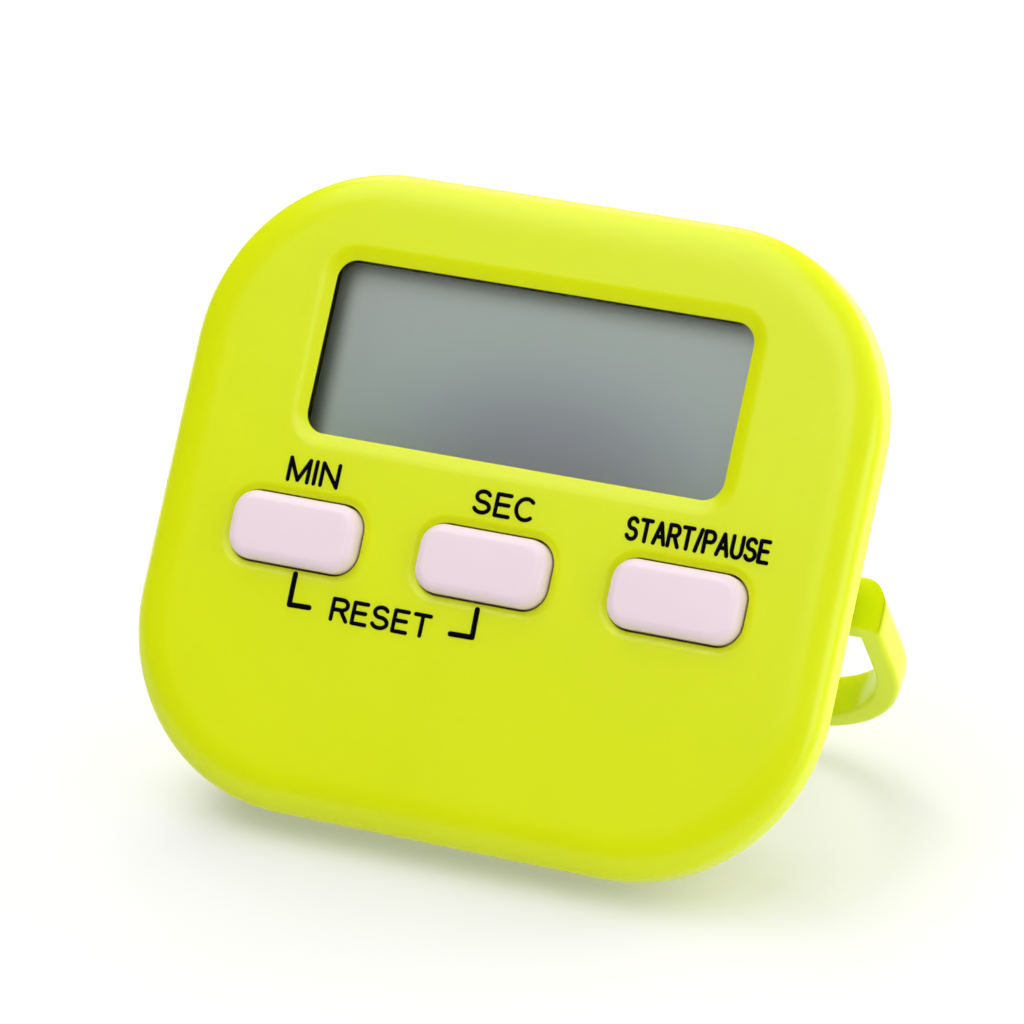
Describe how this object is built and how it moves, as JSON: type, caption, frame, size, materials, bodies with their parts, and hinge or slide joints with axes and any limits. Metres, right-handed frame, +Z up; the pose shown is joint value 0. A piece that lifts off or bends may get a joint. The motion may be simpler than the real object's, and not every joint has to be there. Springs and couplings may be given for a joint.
{
  "type": "countdown kitchen timer",
  "caption": "Pocket countdown timer leaning on a fold-out loop stand: rounded two-part case, recessed display window, push buttons, coin-slot battery door and magnet on the back.",
  "frame": {"origin": "middle of the foot print, on the surface the timer stands on", "axes": "+Z up, -Y the side the display faces, +X to the right as the display is read; the face leans back 30.5 degrees"},
  "size_m": [0.068, 0.0442, 0.0548],
  "materials": {
    "lime_plastic": "satin moulded plastic",
    "button_plastic": "soft satin",
    "window_clear": "clear acrylic",
    "lcd_glass": "thin glass",
    "polariser": "film",
    "reflector": "grey-green film",
    "white_plastic": "moulded",
    "zebra_rubber": "layered silicone",
    "silicone": "translucent grey silicone",
    "carbon": "carbon rubber",
    "board_green": "solder mask",
    "epoxy": "black epoxy",
    "steel": "zinc plated",
    "chip_ceramic": "fired ceramic",
    "brass": "plain",
    "piezo": "silvered ceramic",
    "wire_red": "wire insulation",
    "wire_black": "wire insulation",
    "cell_steel": "nickel plated can",
    "magnet_dark": "ferrite"
  },
  "bodies": {
    "case": {"front_case": "lime_plastic", "back_case": "lime_plastic", "display_window": "window_clear", "lcd_front_polariser": "polariser", "lcd_front_glass": "lcd_glass", "lcd_rear_glass": "lcd_glass", "lcd_reflector": "reflector", "lcd_frame": "white_plastic", "zebra_strip": "zebra_rubber", "keypad_mat": "silicone", "circuit_board": "board_green", "chip_blob": "epoxy", "crystal": "steel", "capacitors": "chip_ceramic", "resistors": "epoxy", "battery_cell": "cell_steel", "battery_contact_negative": "steel", "battery_contact_positive": "steel", "magnet": "magnet_dark", "case_screws": "steel", "board_screws": "steel", "left_hinge_pin": "steel", "right_hinge_pin": "steel", "buzzer_disc": "brass", "buzzer_ceramic": "piezo", "buzzer_lead_red": "wire_red", "buzzer_lead_black": "wire_black"},
    "stand_loop": {"stand_loop": "lime_plastic"},
    "battery_door": {"battery_door": "lime_plastic"},
    "minute_button": {"minute_button": "button_plastic", "minute_pill": "carbon"},
    "second_button": {"second_button": "button_plastic", "second_pill": "carbon"},
    "start_button": {"start_button": "button_plastic", "start_pill": "carbon"}
  },
  "joints": [
    {"name": "minute_press", "type": "slide", "parent": "case", "child": "minute_button", "axis": [0, 0.8616, -0.5075], "range_m": [0, 0.0007], "stiffness_N_per_m": 400},
    {"name": "second_press", "type": "slide", "parent": "case", "child": "second_button", "axis": [0, 0.8616, -0.5075], "range_m": [0, 0.0007], "stiffness_N_per_m": 400},
    {"name": "start_press", "type": "slide", "parent": "case", "child": "start_button", "axis": [0, 0.8616, -0.5075], "range_m": [0, 0.0007], "stiffness_N_per_m": 400},
    {"name": "stand_fold", "type": "hinge", "parent": "case", "child": "stand_loop", "pos_m": [0, 0.00634, 0.01953], "axis": [1, 0, 0], "range_deg": [-67.5, 0]},
    {"name": "battery_door_turn", "type": "hinge", "parent": "case", "child": "battery_door", "pos_m": [0.0105, 0.01654, 0.03033], "axis": [0, 0.8616, -0.5075], "range_deg": [0, 60]}
  ]
}
